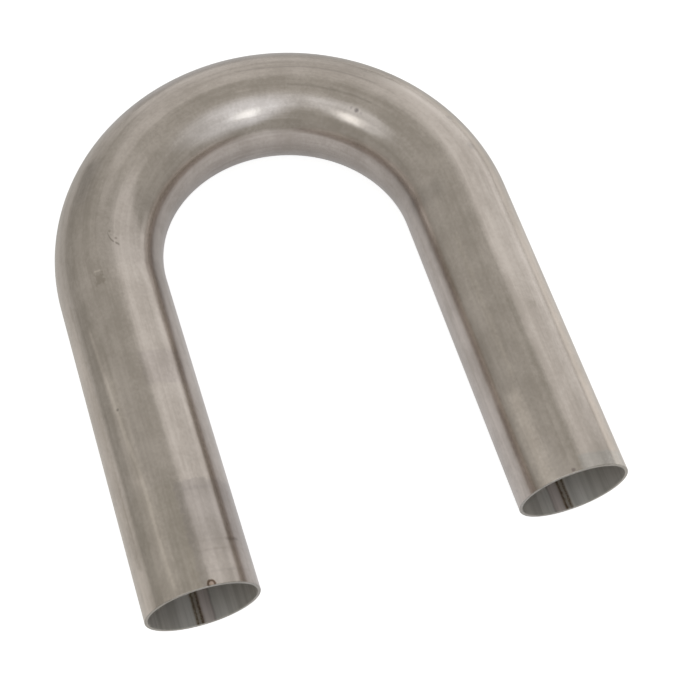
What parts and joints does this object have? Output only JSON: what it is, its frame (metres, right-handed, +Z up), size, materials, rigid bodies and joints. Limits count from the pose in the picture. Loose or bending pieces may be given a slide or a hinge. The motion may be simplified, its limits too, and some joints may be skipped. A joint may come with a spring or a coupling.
{
  "type": "exhaust u bend",
  "caption": "Half-turn exhaust tube bend with long straight legs: a seam-welded stainless tube, open at its sawn ends.",
  "frame": {"origin": "middle of the bounding box, on the surface that the bend lies on", "axes": "+X across the legs, +Y from the open ends towards the crown of the bend, +Z up from the surface"},
  "size_m": [0.2476, 0.2996, 0.0571],
  "materials": {
    "stainless": "satin mill finish, grain along the tube, light handling marks"
  },
  "bodies": {
    "root": {"tube": "stainless"}
  },
  "joints": []
}
